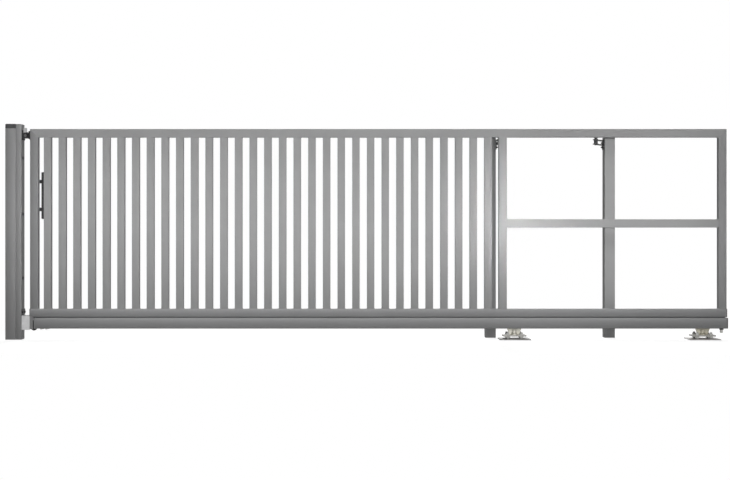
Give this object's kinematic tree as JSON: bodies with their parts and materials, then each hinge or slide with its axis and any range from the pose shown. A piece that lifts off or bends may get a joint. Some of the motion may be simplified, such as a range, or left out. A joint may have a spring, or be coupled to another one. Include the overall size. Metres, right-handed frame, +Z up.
{
  "type": "cantilever sliding gate",
  "caption": "Cantilever sliding driveway gate with upright pickets, a track under the leaf on roller carriages, guide posts behind it and a catch post.",
  "frame": {"origin": "centre of the catch post's foot, on the ground", "axes": "+X along the closed leaf from the catch post to the tail, +Y to the back where the guide posts stand, +Z up"},
  "size_m": [5.424, 0.285, 1.62],
  "materials": {
    "leaf_paint": "satin powder coat, fine orange peel",
    "post_paint": "satin powder coat, fine orange peel",
    "track_paint": "satin powder coat, fine orange peel",
    "dark_cap": "moulded, slightly grained",
    "black_paint": "black powder coat",
    "bright_zinc": "bright zinc plate",
    "carriage_zinc": "yellow passivated zinc plate",
    "stud_steel": "zinc plated, threaded",
    "black_nylon": "turned nylon",
    "black_rubber": "moulded rubber"
  },
  "bodies": {
    "ground_parts": {"catch_post": "post_paint", "catch_post_cap": "dark_cap", "catch_channel": "post_paint", "upper_catch_jaws": "black_paint", "upper_catch_tab": "bright_zinc", "lower_catch_plate": "black_paint", "lower_catch_pocket": "bright_zinc", "near_guide_post": "post_paint", "near_post_cap": "dark_cap", "near_guide_bracket": "black_paint", "far_guide_post": "post_paint", "far_post_cap": "dark_cap", "far_guide_bracket": "black_paint", "front_carriage_base": "carriage_zinc", "front_carriage_studs": "stud_steel", "front_carriage_seat": "carriage_zinc", "front_carriage_neck": "carriage_zinc", "front_carriage_wheels": "stud_steel", "rear_carriage_base": "carriage_zinc", "rear_carriage_studs": "stud_steel", "rear_carriage_seat": "carriage_zinc", "rear_carriage_neck": "carriage_zinc", "rear_carriage_wheels": "stud_steel"},
    "leaf": {"top_rail": "leaf_paint", "bottom_rail": "leaf_paint", "lead_upright": "leaf_paint", "tail_upright": "leaf_paint", "divider_upright": "leaf_paint", "tail_brace": "leaf_paint", "pickets": "leaf_paint", "guide_channel": "track_paint", "rail_caps": "dark_cap", "track_beam": "track_paint", "track_strip": "track_paint", "track_fork": "black_paint", "track_rear_cap": "dark_cap", "rear_stop": "bright_zinc", "lead_buffer": "black_rubber", "pull_handle": "black_paint"},
    "near_roller": {"near_guide_roller": "black_nylon"},
    "far_roller": {"far_guide_roller": "black_nylon"},
    "run_in_roller": {"end_roller": "black_nylon"}
  },
  "joints": [
    {"name": "leaf_slide", "type": "slide", "parent": "ground_parts", "child": "leaf", "axis": [1, 0, 0], "range_m": [0, 3.44]},
    {"name": "near_roller_spin", "type": "hinge", "parent": "ground_parts", "child": "near_roller", "pos_m": [3.678, 0.04, 1.5], "axis": [0, 0, 1], "continuous": true},
    {"name": "far_roller_spin", "type": "hinge", "parent": "ground_parts", "child": "far_roller", "pos_m": [4.409, 0.04, 1.5], "axis": [0, 0, 1], "continuous": true},
    {"name": "end_roller_spin", "type": "hinge", "parent": "leaf", "child": "run_in_roller", "pos_m": [0.165, 0, 0.089], "axis": [0, 1, 0], "continuous": true}
  ]
}
